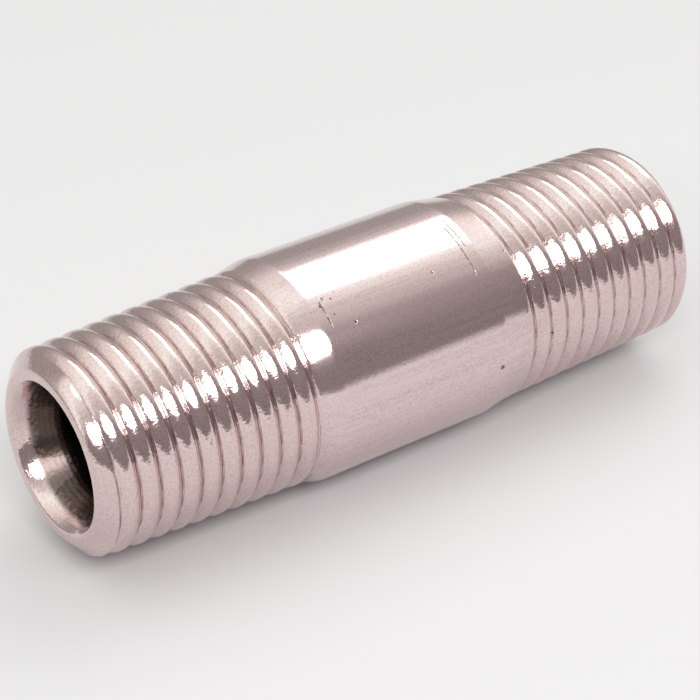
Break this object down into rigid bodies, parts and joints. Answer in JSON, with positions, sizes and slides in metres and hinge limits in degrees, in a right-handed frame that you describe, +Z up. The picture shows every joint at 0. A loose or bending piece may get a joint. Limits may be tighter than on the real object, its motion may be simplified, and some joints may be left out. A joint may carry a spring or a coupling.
{
  "type": "barrel nipple",
  "caption": "Straight chrome-plated pipe nipple: male taper thread on each end, plain round barrel between them, open bore with tapered mouths.",
  "frame": {"origin": "middle of the bore axis, half way between the two end faces", "axes": "+X along the bore, +Z up with the nipple lying on its side; the two ends are alike"},
  "size_m": [0.0444, 0.0142, 0.0142],
  "materials": {
    "chrome_plate": "chrome plate on brass, bright on the thread crests, satin and faintly scratched on the barrel"
  },
  "bodies": {
    "root": {"nipple_body": "chrome_plate"}
  },
  "joints": []
}
